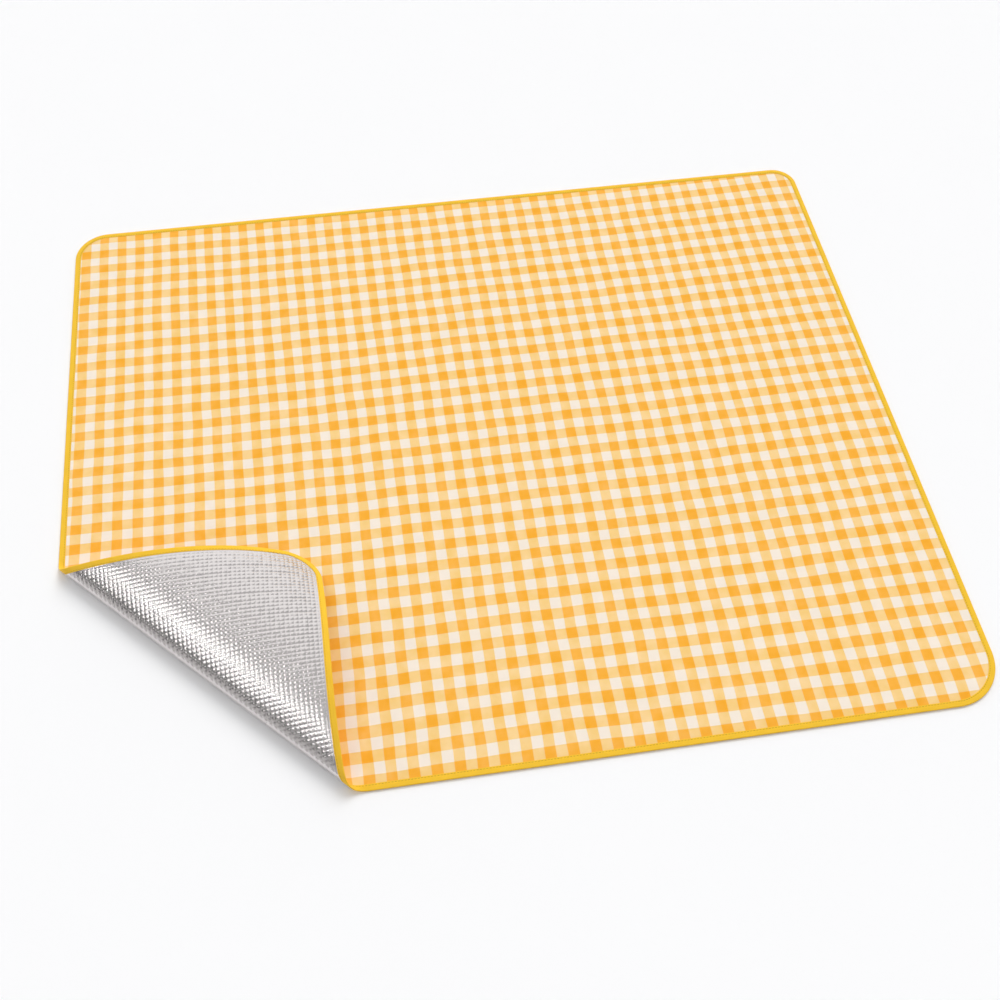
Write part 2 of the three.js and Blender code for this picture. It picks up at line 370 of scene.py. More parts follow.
def covered(rim, cell, domed=False):
    """Points and faces over a convex outline: its rim, square cells inside and triangles between.

    A domed cell gets a point at its middle, so that it can stand up as one bead.
    """
    grid, cells = lattice(rim, cell)
    padded = np.pad(cells, 1)
    touched = np.sum(around(padded), axis=0)
    number = np.full(grid.shape[:2], -1)
    number[touched > 0] = len(rim) + np.arange(np.count_nonzero(touched))
    points = np.concatenate([rim, grid[touched > 0]])
    quads = np.stack([corner[cells] for corner in around(number)], axis=1)
    if domed:
        middle = len(points) + np.arange(len(quads))
        points = np.concatenate([points, points[quads[:, 0]] + cell / 2])
        faces = np.concatenate([np.stack([quads[:, k], quads[:, k - 3], middle], axis=1) for k in range(4)])
    else:
        faces = quads
    fringe = np.flatnonzero((touched.ravel() > 0) & (touched.ravel() < 4))
    chosen = np.concatenate([np.arange(len(rim)), number.ravel()[fringe]])
    local = {v: k for k, v in enumerate(chosen.tolist())}
    bounds = [(i, (i + 1) % len(rim)) for i in range(len(rim))]
    # The lattice's edges with a cell on one side only: first those along the width, then along the depth.
    wide, deep = padded[1:-1, :-1] != padded[1:-1, 1:], padded[:-1, 1:-1] != padded[1:, 1:-1]
    for starts, ends in ((number[:-1][wide], number[1:][wide]), (number[:, :-1][deep], number[:, 1:][deep])):
        bounds += [(local[a], local[b]) for a, b in zip(starts.tolist(), ends.tolist())]
    found = delaunay_2d_cdt([Vector(p) for p in points[chosen]], bounds, [], 1, 1e-9)
    source = np.array([ids[0] for ids in found[3]])
    band = chosen[source[np.array(found[2])]]
    a, b, c = (points[band[:, i]] for i in range(3))
    area = (b[:, 0] - a[:, 0]) * (c[:, 1] - a[:, 1]) - (b[:, 1] - a[:, 1]) * (c[:, 0] - a[:, 0])
    band[area < 0] = band[area < 0][:, ::-1]
    place = np.floor(((a + b + c) / 3 - grid[0, 0]) / cell).astype(int)
    place = np.clip(place, 0, np.array(cells.shape) - 1)
    return points, faces, band[~cells[place[:, 0], place[:, 1]]]


# How the print runs off a true grid, as waves: height in mm, half waves over the width and over the depth.
DRIFT_ACROSS = ((-4.5, 1, 1), (2, 1, 0), (2, 0, 2), (-2, 2, 0), (2, 2, 1), (1.5, 3, 1), (-1, 3, 0))
DRIFT_ALONG = (
    *((4.5, 1, 0), (4.5, 0, 1), (-4.5, 0, 2), (-3.5, 1, 1)),
    *((2.5, 2, 1), (2, 2, 3), (-1.5, 4, 0), (1.5, 1, 3)),
)


def printed(flat):
    """Where on its true grid the print at each flat point was meant to be."""
    share = (flat - CENTRE + HALF) / (2 * HALF)
    moved = flat.copy()
    for axis, drift in enumerate((DRIFT_ACROSS, DRIFT_ALONG)):
        for size, *counts in drift:
            moved[:, axis] += size * MM * np.cos(math.pi * share * counts).prod(axis=1)
    return moved


def waves(flat, size, seed):
    """Soft, even noise, mostly between -1 and 1, with bumps of the given size in metres."""
    draw = np.random.default_rng(seed)
    total = np.zeros(len(flat))
    for _ in range(9):
        angle, phase, scale = draw.uniform(0, math.pi), draw.uniform(0, math.tau), draw.uniform(0.7, 1.5)
        direction = np.array([math.cos(angle), math.sin(angle)]) * math.tau / (size * scale)
        total += np.sin(flat @ direction + phase)
    return total / 4.5


# ---- meshes


def linked(name, data):
    """A new object in the scene."""
    item = bpy.data.objects.new(name, data)
    bpy.context.scene.collection.objects.link(item)
    return item


def new_piece(name, points, faces, uvs, normals, material):
    """A mesh object from arrays, with flat-sheet coordinates and a normal for each corner of each face."""
    mesh = bpy.data.meshes.new(name)
    mesh.from_pydata(np.round(points, 9).tolist(), [], faces)
    corner_of = np.empty(len(mesh.loops), np.int32)
    mesh.loops.foreach_get("vertex_index", corner_of)
    layer = mesh.uv_layers.new(name="sheet")
    layer.data.foreach_set("uv", uvs[corner_of].astype(np.float32).ravel())
    mesh.materials.append(material)
    mesh.shade_smooth()
    mesh.update()
    mesh.normals_split_custom_set(normals.astype(np.float32))
    return linked(name, mesh)


def slab(name, sheet, top, bottom, material, marks=None):
    """A closed piece of the sheet between two height functions; marks moves its flat-sheet coordinates.

    sheet holds the rim, the cell sizes of the two faces and whether the lower one has a bead in each cell.
    """
    rim, top_cell, bottom_cell, domed = sheet
    top_flat, *top_faces = covered(rim, top_cell)
    bottom_flat, *bottom_faces = covered(rim, bottom_cell, domed)
    flat = np.concatenate([top_flat, bottom_flat])
    points = np.concatenate([fold(top_flat, top(top_flat)), fold(bottom_flat, bottom(bottom_flat))])
    rounded = np.concatenate([face_normals(top_flat, top), -face_normals(bottom_flat, bottom)])
    under, step = len(top_flat), np.arange(len(rim))
    ahead = (step + 1) % len(rim)
    groups = [*top_faces, *(faces[:, ::-1] + under for faces in bottom_faces)]
    normals = [rounded[group.ravel()] for group in groups]
    if domed:
        # The facets of the plain beads keep their own normals.
        a, b, c = (points[groups[2][:, i]] for i in range(3))
        normals[2] = np.repeat(unit(np.cross(b - a, c - a)), 3, axis=0)
    groups.append(np.stack([under + step, under + ahead, ahead, step], axis=1))
    a, b, _, d = (points[groups[-1][:, i]] for i in range(4))
    normals.append(np.repeat(unit(np.cross(b - a, d - a)), 4, axis=0))
    faces = [face for group in groups for face in group.tolist()]
    return new_piece(name, points, faces, marks(flat) if marks else flat, np.concatenate(normals), material)


def attach(piece, place, layer=None):
    """Rides a piece with its body of the frame, by its place among LABELS. A bend's piece is only baked where
    it lies; it neither rides nor bends.

    layer names the solids of the frame that the piece stands for.
    """
    if place in (0, len(JOINTS) + 1):
        body = JOINTS[0]["parent"] if place == 0 else JOINTS[-1]["child"]
        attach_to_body(piece, body)
    else:
        joint = JOINTS[place - 1]
        body = joint["child"]
        start, end = fold(ORIGIN[:2] + np.outer(LIMITS[place : place + 2], ACROSS), np.zeros(2))
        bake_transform(piece)
    if layer:
        members = frame["record"]["behaviour"]["bodies"][body]
        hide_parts(*[n for n in members if n.startswith(layer + "_")])


def sheet_rim(place, radii, edge_step, cut_step):
    """The closed rim of a ply's piece, with steps of its own along the cuts where it meets its neighbours."""
    low, high = LIMITS[place : place + 2]
    corners = clipped(outline(radii), low, high)
    result = []
    for a, b in zip(corners, np.roll(corners, -1, axis=0)):
        length, ends = np.linalg.norm(b - a), past_fold(np.array([a, b]))
        if length < SAME:
            continue
        on_cut = any(np.all(np.abs(ends - cut) < SAME) for cut in (low, high))
        # Even steps, so that neighbours share their points whichever end they count from.
        parts = max(1, math.ceil(length / (cut_step if on_cut else edge_step) - 1e-6))
        result.extend(a + (b - a) * k / parts for k in range(parts))
    return np.array(result)


# ---- materials


def add(tree, kind, inputs=None, output=0, **settings):
    """Adds a node and gives one output; inputs may be plain values or the sockets that feed them.

    A Mix node's sockets share their names. 2 and 3 are its plain inputs, 6 and 7 its colours, and its
    output 2 is the mixed colour.
    """
    made = tree.nodes.new(kind)
    for key, value in settings.items():
        setattr(made, key, value)
    for key, value in (inputs or {}).items():
        if isinstance(value, bpy.types.NodeSocket):
            tree.links.new(value, made.inputs[key])
        else:
            made.inputs[key].default_value = value
    return made.outputs[output] if made.outputs else None


# The kinds of node that are used most.
MATH, MIX, RANGE = "ShaderNodeMath", "ShaderNodeMix", "ShaderNodeMapRange"
NOISE, BUMP = "ShaderNodeTexNoise", "ShaderNodeBump"


def new_material(name):
    """An empty node material and its tree."""
    material = bpy.data.materials.new(name)
    material.use_nodes = True
    material.node_tree.nodes.clear()
    return material, material.node_tree


def surface(tree, inputs):
    """Ends a material's tree in one shader with these inputs."""
    add(tree, "ShaderNodeOutputMaterial", {"Surface": add(tree, "ShaderNodeBsdfPrincipled", inputs)})


def toned(tree, colour, pattern, low, high):
    """A colour shaded between a low and a high share by a pattern of 0 to 1."""
    tone = add(tree, RANGE, {"Value": pattern, "To Min": low, "To Max": high})
    inputs = {"Factor": 1.0, 6: colour, 7: tone}
    return add(tree, MIX, inputs, output=2, data_type="RGBA", blend_type="MULTIPLY")


def per(size):
    """A texture's scale, from the real size of its cells in mm."""
    return 1 / (size * MM)


def opaque(colour):
    """A colour with full alpha."""
    return (*colour, 1.0)


def gingham_polyester(sizes, colours):
    """Printed polyester with a brushed face: matte with a faint sheen, and checks whose ink bled a little."""
    material, tree = new_material("printed brushed polyester")
    sheet = add(tree, "ShaderNodeUVMap", uv_map="sheet")
    # The stripes wander by up to 3 mm over stretches of about 110 mm.
    stray = add(tree, NOISE, {"Vector": sheet, "Scale": per(111.11), "Detail": 1.0}, "Color")
    stray = add(tree, "ShaderNodeVectorMath", {0: stray, 1: (0.5, 0.5, 0.5)}, operation="SUBTRACT")
    stray = add(tree, "ShaderNodeVectorMath", {0: stray, "Scale": 6 * MM}, operation="SCALE")
    moved = add(tree, "ShaderNodeVectorMath", {0: sheet, 1: stray}, operation="ADD")
    parts = add(tree, "ShaderNodeSeparateXYZ", {0: moved}).node.outputs
    starts = (CENTRE[0] - HALF[0] + sizes.first_column, CENTRE[1] - HALF[1] + sizes.first_row)
    bleed = 0.6 * MM
    stripes = []
    for part, start, repeat in zip(parts, starts, (sizes.check_width, sizes.check_depth)):
        away = add(tree, MATH, {0: part, 1: start}, operation="SUBTRACT")
        turns = add(tree, MATH, {0: away, 1: repeat}, operation="DIVIDE")
        swing = add(tree, MATH, {0: turns, 1: 0.5}, operation="PINGPONG")
        low, high = 0.25 - bleed / repeat, 0.25 + bleed / repeat
        inputs = {"Value": swing, "From Min": low, "From Max": high, "To Min": 1.0, "To Max": 0.0}
        stripes.append(add(tree, RANGE, inputs, interpolation_type="SMOOTHSTEP"))
    # Uneven ink and pile: patches about 40 mm across, and flecks of pile about 2 mm long.
    patch = add(tree, NOISE, {"Vector": sheet, "Scale": per(41.667), "Detail": 3.0})
    ink = add(tree, RANGE, {"Value": patch, "To Min": 1.3, "To Max": 0.7})
    cloth = opaque(colours.ground_cloth)
    for pick, colour in (("MAXIMUM", colours.single_stripe), ("MINIMUM", colours.crossed_stripes)):
        share = add(tree, MATH, {0: stripes[0], 1: stripes[1]}, operation=pick)
        share = add(tree, MATH, {0: share, 1: ink}, operation="MULTIPLY")
        inputs = {"Factor": share, 6: cloth, 7: opaque(colour)}
        cloth = add(tree, MIX, inputs, output=2, data_type="RGBA", clamp_factor=False)
    # Plain weave, drawn at 1.6 mm because the real 0.4 mm threads are too fine to show.
    threads = []
    for part in add(tree, "ShaderNodeSeparateXYZ", {0: sheet}).node.outputs[:2]:
        phase = add(tree, MATH, {0: part, 1: math.tau * per(1.6)}, operation="MULTIPLY")
        threads.append(add(tree, MATH, {0: phase}, operation="SINE"))
    weave = add(tree, MATH, {0: threads[0], 1: threads[1]}, operation="MULTIPLY")
    pile = add(tree, NOISE, {"Vector": sheet, "Scale": per(2.0833), "Detail": 3.0})
    relief = add(tree, MATH, {0: weave, 1: 0.35, 2: pile}, operation="MULTIPLY_ADD")
    bump = add(tree, BUMP, {"Strength": 0.35, "Distance": 0.15 * MM, "Height": relief})
    inputs = {"Base Color": toned(tree, cloth, patch, 0.94, 1.04), "Roughness": 0.85, "Normal": bump}
    surface(tree, {**inputs, "Specular IOR Level": 0.15, "Sheen Weight": 0.05, "Sheen Roughness": 0.5})
    return material


def aluminised_film(colours):
    """Aluminised polyethylene film, hot-embossed over foam: a metal mirror made satin by fine creases."""
    material, tree = new_material("embossed aluminised film")
    sheet = add(tree, "ShaderNodeUVMap", uv_map="sheet")
    wear = add(tree, NOISE, {"Vector": sheet, "Scale": per(33.333), "Detail": 4.0})
    rough = add(tree, RANGE, {"Value": wear, "To Min": 0.22, "To Max": 0.30})
    # Heat creases: cells about 4 mm across and scratches finer than 1 mm.
    crease = add(tree, NOISE, {"Vector": sheet, "Scale": per(3.8462), "Detail": 4.0, "Roughness": 0.6})
    bump = add(tree, BUMP, {"Strength": 0.5, "Distance": 0.35 * MM, "Height": crease})
    surface(tree, {"Base Color": opaque(colours.foil), "Metallic": 1.0, "Roughness": rough, "Normal": bump})
    return material


def polyethylene_foam(colours):
    """Expanded polyethylene foam, skived: chalky, with closed cells about 1 mm across."""
    material, tree = new_material("expanded polyethylene foam")
    place = add(tree, "ShaderNodeTexCoord", output="Object")
    cells = add(tree, "ShaderNodeTexVoronoi", {"Vector": place, "Scale": per(1.1111)})
    bump = add(tree, BUMP, {"Strength": 0.4, "Distance": 0.2 * MM, "Height": cells})
    surface(tree, {"Base Color": opaque(colours.foam), "Roughness": 0.75, "Normal": bump})
    return material


def polyester_tape(colours):
    """Woven polyester binding tape: a twill whose filaments give a low sheen along the diagonal."""
    material, tree = new_material("polyester twill tape")
    sheet = add(tree, "ShaderNodeUVMap", uv_map="sheet")
    parts = add(tree, "ShaderNodeSeparateXYZ", {0: sheet}).node.outputs
    # Twill lines drawn 1.8 mm apart because the real 0.5 mm ones are too fine to show.
    slant = add(tree, MATH, {0: parts[0], 1: parts[1]}, operation="ADD")
    phase = add(tree, MATH, {0: slant, 1: math.tau * per(1.8)}, operation="MULTIPLY")
    twill = add(tree, MATH, {0: phase}, operation="SINE")
    # Flecks of about 1.5 mm in the weave, and patches of dye about 25 mm across.
    fleck = add(tree, NOISE, {"Vector": sheet, "Scale": per(1.4286), "Detail": 2.0})
    relief = add(tree, MATH, {0: twill, 1: 0.5, 2: fleck}, operation="MULTIPLY_ADD")
    patch = add(tree, NOISE, {"Vector": sheet, "Scale": per(25), "Detail": 3.0})
    dyed = toned(tree, opaque(colours.binding), patch, 0.93, 1.05)
    bump = add(tree, BUMP, {"Strength": 0.4, "Distance": 0.15 * MM, "Height": relief})
    inputs = {"Base Color": dyed, "Roughness": 0.7, "Normal": bump}
    surface(tree, {**inputs, "Specular IOR Level": 0.25, "Sheen Weight": 0.05})
    return material


def spun_thread(colours):
    """Spun polyester sewing thread: two plies twisted, a little glossier than the tape."""
    material, tree = new_material("spun polyester thread")
    place = add(tree, "ShaderNodeTexCoord", output="Object")
    twist = add(tree, NOISE, {"Vector": place, "Scale": per(0.66667), "Detail": 1.0})
    bump = add(tree, BUMP, {"Strength": 0.4, "Distance": 0.1 * MM, "Height": twist})
    surface(tree, {"Base Color": opaque(colours.thread), "Roughness": 0.55, "Normal": bump})
    return material


def painted_board(colours):
    """Board painted matt: a mottle half a metre across, too faint to see, is all the detail it has."""
    material, tree = new_material("matt painted board")
    place = add(tree, "ShaderNodeTexCoord", output="Object")
    mottle = add(tree, NOISE, {"Vector": place, "Scale": per(500), "Detail": 2.0})
    shade = toned(tree, opaque(colours.floor), mottle, 0.995, 1.005)
    surface(tree, {"Base Color": shade, "Roughness": 1.0, "Specular IOR Level": 0.0})
    return material


# ---- heights of the plies

# All heights are over the level of the foil's face. The tape squeezes the plies over TAPE_RAMP from the edge.
TAPE_RAMP = (13.5 * MM, 20 * MM)
CLOTH_SEWN, CLOTH_OPEN, CLOTH_THICK = 2.60 * MM, 3.00 * MM, 0.35 * MM
FOAM_GAP, FOAM_FLOOR = 0.05 * MM, 0.90 * MM
FOIL_BACK, FOIL_SEWN, FOIL_THIN = 0.85 * MM, 0.62 * MM, 0.05 * MM
# The open part of the flap starts over FLAP_RAMP past the fold. Its foil bulges, with deeper rows in bands.
FLAP_RAMP, FLAP_BULGE, ROW_DEPTH, ROW_BANDS = (100 * MM, 170 * MM), 1.2 * MM, 0.6 * MM, 34 * MM


def cloth_top(sizes):
    """Height of the printed face."""

    def height(flat):
        edge = inset_of(flat, sizes.corner_radii)
        soft = 0.5 + 0.3 * waves(flat, 0.16, 3) + 0.2 * waves(flat, 0.07, 4)
        ripple = smooth(edge, 16 * MM, 90 * MM) * sizes.cloth_ripple * soft
        return CLOTH_SEWN + smooth(edge, *TAPE_RAMP) * (CLOTH_OPEN - CLOTH_SEWN) + ripple

    return height


def foil_face(sizes):
    """Height of the embossed face: rounded beads at the sheet's level, with grooves pressed up between."""

    def height(flat):
        edge = inset_of(flat, sizes.corner_radii)
        flap = smooth(past_fold(flat), *FLAP_RAMP)
        free = flap * smooth(edge, 15 * MM, 45 * MM)
        turns = flat * math.pi / sizes.bead_pitch
        dome = np.abs(np.sin(turns[:, 0]) * np.sin(turns[:, 1])) ** 0.6
        # On the flap the grooves are over twice as deep, and uneven from one bead to the next.
        uneven = 1 + 0.45 * flap * waves(flat, 0.018, 7)
        groove = sizes.bead_depth * (1 + 1.3 * flap) * uneven * (1 - dome)
        # The embossing roller leaves every second row of them deeper still, in bands that wander.
        row = (1 - np.abs(np.sin(turns[:, 0])) ** 0.7) * (0.5 + 0.5 * np.cos(turns[:, 0]))
        band = 0.5 + 0.5 * np.cos(math.tau * (flat[:, 0] / ROW_BANDS + 0.45 * waves(flat, 0.15, 9)))
        deep = free * ROW_DEPTH * row * (0.65 + 0.35 * waves(flat, 0.06, 5)) * (0.3 + 1.5 * band)
        lift = free * FLAP_BULGE * (0.85 + 0.15 * waves(flat, 0.08, 8)) - deep
        relief = FOIL_SEWN + smooth(edge, *TAPE_RAMP) * (groove - FOIL_SEWN) - lift
        # The film keeps some thickness under its deepest grooves.
        return np.minimum(relief, FOIL_BACK - FOIL_THIN)

    return height


def level(value):
    """A plain height function."""
    return lambda flat: np.full(len(flat), value)


def lowered(height, drop):
    """A height function that runs below another."""
    return lambda flat: height(flat) - drop


def ply_cell(place):
    """Cell size of a ply's plain face, with at least three cells to a strip past the panel."""
    return 12 * MM if place == 0 else min(STRIPS[min(place, len(JOINTS)) - 1] / 3, 6 * MM)


# ---- pieces


def plain_ply(name, radii, faces, marks=None):
    """Every piece of a ply with two plain faces; faces holds their height functions and the material."""
    for place, label in enumerate(LABELS):
        cell = ply_cell(place)
        sheet = (sheet_rim(place, radii, cell, CUT_STEP), cell, cell, False)
        attach(slab(f"{name}_{label}", sheet, *faces, marks), place, name)


class PICNICMAT_OT_cloth(bpy.types.Operator):
    """Makes the printed cloth face"""

    bl_idname = "picnicmat.cloth"
    bl_label = "Printed cloth"

    def execute(self, context):
        sizes, colours = choices(context.scene)
        material, top = gingham_polyester(sizes, colours), cloth_top(sizes)
        faces = (top, lowered(top, CLOTH_THICK), material)
        plain_ply("cloth", sizes.corner_radii, faces, printed)
        return {"FINISHED"}


class PICNICMAT_OT_foam(bpy.types.Operator):
    """Makes the foam between the cloth and the foil"""

    bl_idname = "picnicmat.foam"
    bl_label = "Foam core"

    def execute(self, context):
        sizes, colours = choices(context.scene)
        top = lowered(cloth_top(sizes), CLOTH_THICK + FOAM_GAP)
        faces = (top, level(FOAM_FLOOR), polyethylene_foam(colours))
        plain_ply("foam", sizes.corner_radii, faces)
        return {"FINISHED"}


class PICNICMAT_OT_foil(bpy.types.Operator):
    """Makes the embossed foil back"""

    bl_idname = "picnicmat.foil"
    bl_label = "Embossed foil"

    def execute(self, context):
        sizes, colours = choices(context.scene)
        material = aluminised_film(colours)
        top, bottom = level(FOIL_BACK), foil_face(sizes)
        fine = sizes.bead_pitch / sizes.bead_cells
        for place, label in enumerate(LABELS):
            # Under the panel each bead is one cell with a raised middle. Past it, beads are shaped in full.
            cell = sizes.bead_pitch if place == 0 else fine
            sheet = (sheet_rim(place, sizes.corner_radii, cell, fine), ply_cell(place), cell, place == 0)
            attach(slab(f"foil_{label}", sheet, top, bottom, material), place, "foil")
        return {"FINISHED"}


def tape_section(sizes):
    """The binding's cross-section, inset and height: from its upper lip round the nose and back inside."""
    lip, seam = sizes.tape_width / MM - 0.05, sizes.seam_inset / MM
    over = [(lip, 2.75), (lip - 0.1, 3.12), (lip - 0.7, 3.28), (seam + 0.9, 3.26), (seam, 2.98)]
    over += [(seam - 0.9, 3.30), (8.2, 3.38), (6.4, 3.42), (4.7, 3.38), (3.2, 3.26)]
    nose = [(1.75 - 1.75 * math.sin(a), 1.6 + 1.6 * math.cos(a)) for a in np.radians(range(15, 180, 25))]
    under = [(3.2, 0.0), (5.0, 0.0), (7.5, 0.0), (seam - 0.8, 0.0), (seam, 0.12), (seam + 0.8, 0.0)]
    inside = [(lip - 0.15, 0.0), (lip, 0.5), (8.0, 0.52), (1.6, 0.54), (1.0, 1.0), (0.9, 1.6), (1.0, 2.2)]
    return np.array([*over, *nose, *under, *inside, (1.6, 2.66), (8.0, 2.68)]) * MM


def tape_run(stations, profile):
    """A closed length of binding through stations of outline place and inward direction, run anticlockwise.

    The first and the last station only steer the normals.
    """
    places, inwards, distances = stations
    flat = places[:, None] + profile[:, :1] * inwards[:, None]
    # The sewn tape puckers a little on its upper face, with bumps of about 20 mm.
    crowned = (profile[:, 1] > 2.9 * MM) & (profile[:, 0] > 2 * MM)
    heights = profile[:, 1] + 0.10 * MM * waves(places, 0.02, 12)[:, None] * crowned
    solid = fold(flat.reshape(-1, 2), heights.ravel()).reshape(*heights.shape, 3)
    turned = (np.roll(solid, -1, axis=1) - np.roll(solid, 1, axis=1))[1:-1]
    normals = unit(np.cross(turned, solid[2:] - solid[:-2])).reshape(-1, 3)
    points = solid[1:-1].reshape(-1, 3)
    here = np.arange(len(points)).reshape(-1, len(profile))
    beside = np.roll(here, -1, axis=1)
    quads = np.stack([beside[:-1], beside[1:], here[1:], here[:-1]], axis=-1).reshape(-1, 4)
    normals = [normals[quads.ravel()]]
    caps = [here[0, ::-1], here[-1]]
    for cap in caps:
        corners = points[cap] - points[cap].mean(axis=0)
        facing = unit(np.cross(corners, np.roll(corners, -1, axis=0)).sum(axis=0))
        normals.append(np.tile(facing, (len(cap), 1)))
    across = np.append(0, np.cumsum(np.linalg.norm(np.diff(profile, axis=0), axis=1)))
    uvs = np.stack([np.repeat(distances[1:-1], len(profile)), np.tile(across, len(here))], axis=1)
    return points, quads.tolist() + [cap.tolist() for cap in caps], uvs, np.concatenate(normals)


def joined(runs):
    """Several lengths of binding as one set of arrays."""
    starts = np.cumsum([0, *(len(run[0]) for run in runs)]).tolist()
    faces = [[v + start for v in face] for start, run in zip(starts, runs) for face in run[1]]
    points, uvs, normals = (np.concatenate([run[k] for run in runs]) for k in (0, 2, 3))
    return points, faces, uvs, normals


# From a point on the left and on the front edge, the way in along a line parallel to the fold.
LEFT_LINE, FRONT_LINE = np.array([1.0, -1.0]), np.array([-1.0, 1.0])


def rim_distance(table, past, left):
    """How far round the outline the line at a distance past the fold meets the left or the front edge."""
    at, distances = past_fold(table[1]), table[0]
    peak = np.argmax(at)
    if left:
        return np.interp(past, at[: peak + 1], distances[: peak + 1])
    stop = np.argmax(distances > distances[-1] / 2)
    return np.interp(-past, -at[peak:stop], distances[peak:stop])


def tape_stations(table, start, stop, step, lean, reach=62 * MM):
    """Stations along the outline, leaning to the line of the cut within reach of each end."""
    count = max(2, round((stop - start) / step))
    distances = start + (stop - start) * np.arange(-1, count + 2) / count
    places, inwards = along_rim(table, distances)
    for end, line in ((start, lean[0]), (stop, lean[1])):
        share = 1 - smooth(np.abs(distances - end), 0.0, reach)[:, None]
        # Leaning keeps the tape's width, except where the edge nearly follows the cut.
        tilted = line / np.sum(line * inwards, axis=1).clip(0.3)[:, None]
        inwards = inwards * (1 - share) + tilted * share
    return places, inwards, distances


def strip_stations(table, place, left):
    """Stations along one edge of a bend, all on lines across the sheet."""
    low, high = LIMITS[place : place + 2]
    # The short strips of the curl need fewer rows than the long ones.
    rows = 6 if high - low < 20 * MM else 14
    lines = low + (high - low) * np.arange(-1, rows + 2) / rows
    distances = np.array([rim_distance(table, n, left) for n in (lines if left else lines[::-1])])
    places, _ = along_rim(table, distances)
    return places, np.tile(LEFT_LINE if left else FRONT_LINE, (len(lines), 1)), distances


class PICNICMAT_OT_binding(bpy.types.Operator):
    """Makes the yellow binding tape round the edge"""

    bl_idname = "picnicmat.binding"
    bl_label = "Binding tape"

    def execute(self, context):
        sizes, colours = choices(context.scene)
        material, profile = polyester_tape(colours), tape_section(sizes)
        table = rim_table(sizes.corner_radii)
        for place, label in enumerate(LABELS):
            if place == 0:
                start = rim_distance(table, CUTS[0], False)
                stop = table[0][-1] + rim_distance(table, CUTS[0], True)
                runs = [tape_stations(table, start, stop, 5 * MM, (FRONT_LINE, LEFT_LINE))]
            elif place > len(JOINTS):
                start, stop = (rim_distance(table, CUTS[-1], left) for left in (True, False))
                runs = [tape_stations(table, start, stop, 4 * MM, (LEFT_LINE, FRONT_LINE))]
            else:
                runs = [strip_stations(table, place, left) for left in (True, False)]
            arrays = joined([tape_run(run, profile) for run in runs])
            attach(new_piece(f"binding_{label}", *arrays, material), place, "binding")
        return {"FINISHED"}


def stitch_tree(material):
    """Geometry nodes that lay one stitch of thread on every point, along its run and flat on the tape."""
    tree = bpy.data.node_groups.new("lockstitch", "GeometryNodeTree")
    face = tree.interface
    face.new_socket("Geometry", in_out="INPUT", socket_type="NodeSocketGeometry")
    sockets = {}
    for label in ("Stitch length", "Thread width", "Thread height"):
        sockets[label] = face.new_socket(label, in_out="INPUT", socket_type="NodeSocketFloat").identifier
    face.new_socket("Geometry", in_out="OUTPUT", socket_type="NodeSocketGeometry")
    given = add(tree, "NodeGroupInput").node.outputs
    run, out = (
        add(tree, "GeometryNodeInputNamedAttribute", {"Name": name}, data_type="FLOAT_VECTOR")
        for name in ("run", "out")
    )
    turn = add(tree, "FunctionNodeAlignRotationToVector", {"Vector": run}, axis="X")
    inputs = {"Rotation": turn, "Vector": out}
    turn = add(tree, "FunctionNodeAlignRotationToVector", inputs, axis="Z", pivot_axis="X")
    size = add(tree, "ShaderNodeCombineXYZ", {i: given[label] for i, label in enumerate(sockets)})
    bead = add(tree, "GeometryNodeMeshUVSphere", {"Segments": 8, "Rings": 5, "Radius": 0.5})
    bead = add(tree, "GeometryNodeTransform", {"Geometry": bead, "Rotation": (0.0, math.pi / 2, 0.0)})
    inputs = {"Points": given["Geometry"], "Instance": bead, "Rotation": turn, "Scale": size}
    seam = add(tree, "GeometryNodeInstanceOnPoints", inputs)
    seam = add(tree, "GeometryNodeRealizeInstances", {"Geometry": seam})
    seam = add(tree, "GeometryNodeSetShadeSmooth", {"Geometry": seam})
    seam = add(tree, "GeometryNodeSetMaterial", {"Geometry": seam, "Material": material})
    add(tree, "NodeGroupOutput", {"Geometry": seam})
    return tree, sockets


def stitch_places(sizes):
    """Flat place and run direction of every stitch."""
    table = rim_table(sizes.corner_radii)
    count = round(table[0][-1] / sizes.stitch_pitch)
    places, inwards = along_rim(table, table[0][-1] * (np.arange(count) + 0.5) / count)
    return places + inwards * sizes.seam_inset, np.stack([inwards[:, 1], -inwards[:, 0]], axis=1)


def stitch_marks(flat, runs):
    """A mesh of one point for each stitch on both faces of the tape, with its run and its way out."""
    points, ways, outs = [], [], []
    for height, side in ((SEAM_OVER, 1.0), (SEAM_UNDER, -1.0)):
        at, step = level(height), runs * 0.2 * MM
        points.append(fold(flat, at(flat)))
        ways.append(unit(fold(flat + step, at(flat)) - fold(flat - step, at(flat))))
        outs.append(side * face_normals(flat, at))
    mesh = bpy.data.meshes.new("marks")
    mesh.from_pydata(np.concatenate(points).tolist(), [], [])
    for label, vectors in (("run", ways), ("out", outs)):
        store = mesh.attributes.new(label, "FLOAT_VECTOR", "POINT")
        store.data.foreach_set("vector", np.concatenate(vectors).astype(np.float32).ravel())
    return mesh


